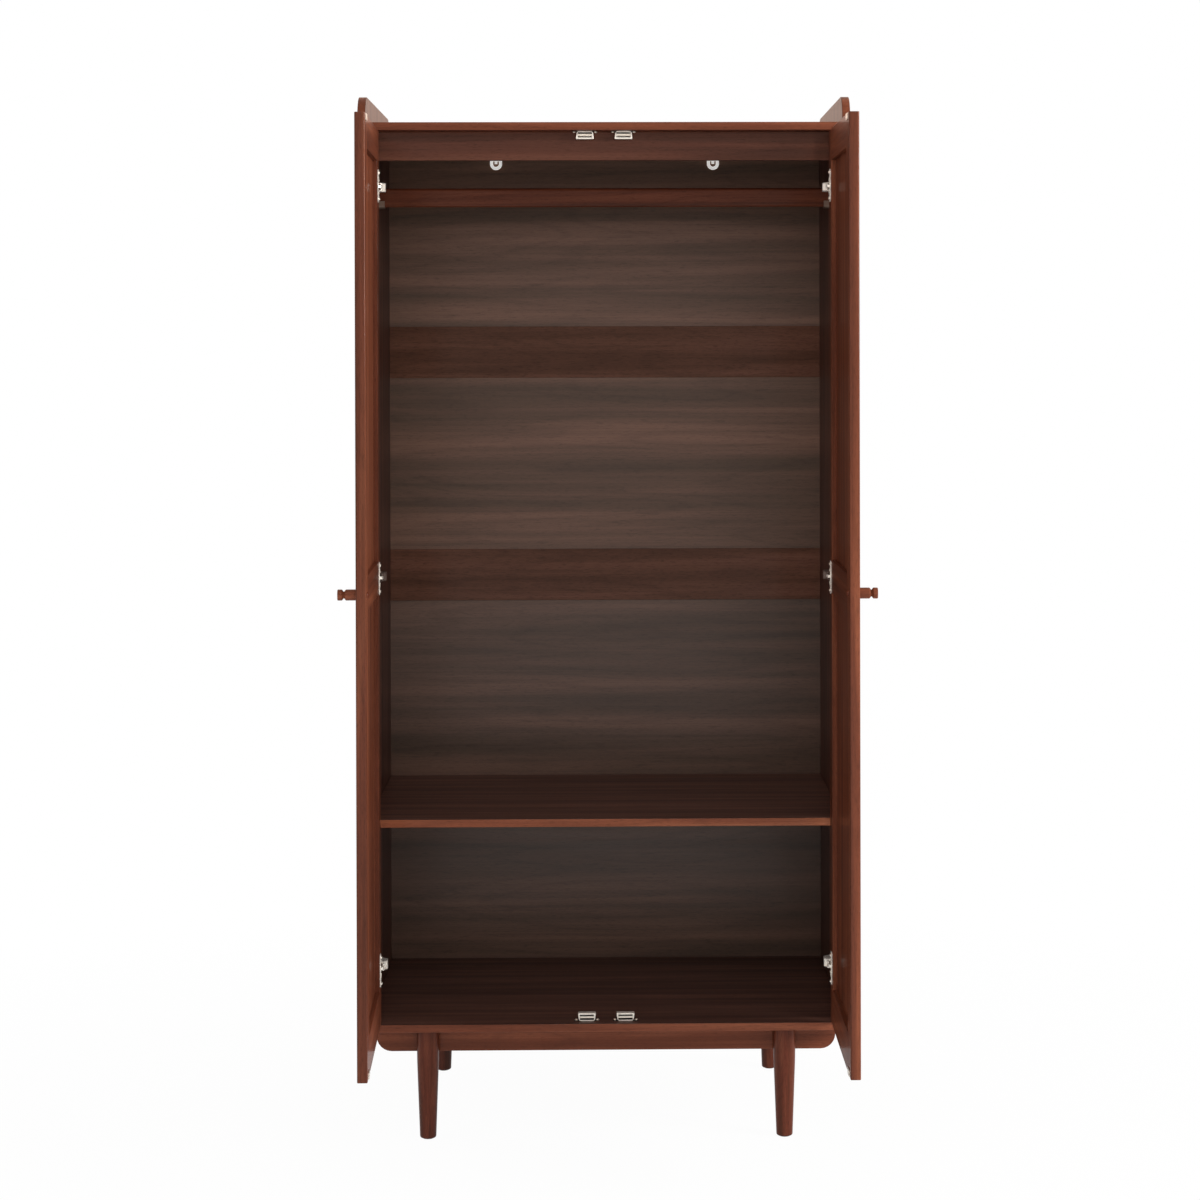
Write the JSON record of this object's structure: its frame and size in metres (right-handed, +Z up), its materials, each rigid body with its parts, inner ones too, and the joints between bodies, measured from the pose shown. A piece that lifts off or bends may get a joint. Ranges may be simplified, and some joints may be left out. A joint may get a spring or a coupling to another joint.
{
  "type": "wardrobe",
  "caption": "Tall wardrobe on turned legs with inset frame-and-panel doors on concealed hinges, a hanging rail, a low shelf and magnetic catches.",
  "frame": {"origin": "on the floor, under the middle of the wardrobe's whole footprint with the doors standing open; X = 0 is the middle of the width", "axes": "+X to the right as one faces the open front, +Y from the front towards the back, +Z up"},
  "size_m": [0.9255, 1.03, 1.946],
  "materials": {
    "dark_walnut_veneer": "satin lacquered walnut veneer and walnut, stained dark red-brown",
    "back_board_veneer": "dark walnut veneered board with a matt lacquer",
    "nickel_plated_steel": "nickel plated, satin",
    "cast_aluminium": "die cast, satin",
    "brass": "turned",
    "black_nylon": "moulded nylon",
    "white_plastic": "moulded white plastic",
    "beech": "fluted beech dowel, unfinished"
  },
  "bodies": {
    "carcass": {"left_side_panel": "dark_walnut_veneer", "right_side_panel": "dark_walnut_veneer", "top_panel": "dark_walnut_veneer", "bottom_panel": "dark_walnut_veneer", "shelf": "dark_walnut_veneer", "front_top_rail": "dark_walnut_veneer", "back_top_rail": "dark_walnut_veneer", "back_upper_rail": "dark_walnut_veneer", "back_lower_rail": "dark_walnut_veneer", "back_upper_panel": "back_board_veneer", "back_middle_panel": "back_board_veneer", "back_lower_panel": "back_board_veneer", "hanging_rail": "dark_walnut_veneer", "rail_cradles": "nickel_plated_steel", "front_apron": "dark_walnut_veneer", "rear_apron": "dark_walnut_veneer", "front_left_leg": "dark_walnut_veneer", "front_right_leg": "dark_walnut_veneer", "rear_left_leg": "dark_walnut_veneer", "rear_right_leg": "dark_walnut_veneer", "leg_bolts": "nickel_plated_steel", "leg_inserts": "brass", "leg_glides": "black_nylon", "catch_bodies": "cast_aluminium", "catch_pole_plates": "nickel_plated_steel", "catch_magnets": "nickel_plated_steel", "wall_restraints": "white_plastic", "wood_screws": "nickel_plated_steel", "shelf_pins": "nickel_plated_steel", "cam_locks": "nickel_plated_steel", "cam_bolts": "nickel_plated_steel", "dowels": "beech", "left_hinge_plates": "nickel_plated_steel", "right_hinge_plates": "nickel_plated_steel", "left_hinge_arms": "nickel_plated_steel", "right_hinge_arms": "nickel_plated_steel"},
    "left_door": {"left_door_hinge_stile": "dark_walnut_veneer", "left_door_free_stile": "dark_walnut_veneer", "left_door_top_rail": "dark_walnut_veneer", "left_door_mid_rail": "dark_walnut_veneer", "left_door_bottom_rail": "dark_walnut_veneer", "left_door_upper_panel": "dark_walnut_veneer", "left_door_lower_panel": "dark_walnut_veneer", "left_knob": "dark_walnut_veneer", "left_hinge_cups": "nickel_plated_steel", "left_strike_plates": "nickel_plated_steel", "left_door_screws": "nickel_plated_steel"},
    "right_door": {"right_door_hinge_stile": "dark_walnut_veneer", "right_door_free_stile": "dark_walnut_veneer", "right_door_top_rail": "dark_walnut_veneer", "right_door_mid_rail": "dark_walnut_veneer", "right_door_bottom_rail": "dark_walnut_veneer", "right_door_upper_panel": "dark_walnut_veneer", "right_door_lower_panel": "dark_walnut_veneer", "right_knob": "dark_walnut_veneer", "right_hinge_cups": "nickel_plated_steel", "right_strike_plates": "nickel_plated_steel", "right_door_screws": "nickel_plated_steel"},
    "left_links": {"left_hinge_links": "nickel_plated_steel"},
    "right_links": {"right_hinge_links": "nickel_plated_steel"}
  },
  "joints": [
    {"name": "left_door_swing", "type": "hinge", "parent": "carcass", "child": "left_door", "pos_m": [-0.4385, -0.078, 1.052], "axis": [0, 0, 1], "range_deg": [-6.5, 88.5]},
    {"name": "right_door_swing", "type": "hinge", "parent": "carcass", "child": "right_door", "pos_m": [0.4385, -0.078, 1.052], "axis": [0, 0, -1], "range_deg": [-5, 90]},
    {"name": "left_link_fold", "type": "hinge", "parent": "carcass", "child": "left_links", "pos_m": [-0.4175, -0.0638, 1.052], "axis": [0, 0, 1], "range_deg": [-6.5, 88.5]},
    {"name": "right_link_fold", "type": "hinge", "parent": "carcass", "child": "right_links", "pos_m": [0.4175, -0.0638, 1.052], "axis": [0, 0, -1], "range_deg": [-5, 90]}
  ],
  "couplings": [
    {"joint": "left_link_fold", "follows": "left_door_swing", "ratio": 1},
    {"joint": "right_link_fold", "follows": "right_door_swing", "ratio": 1}
  ]
}
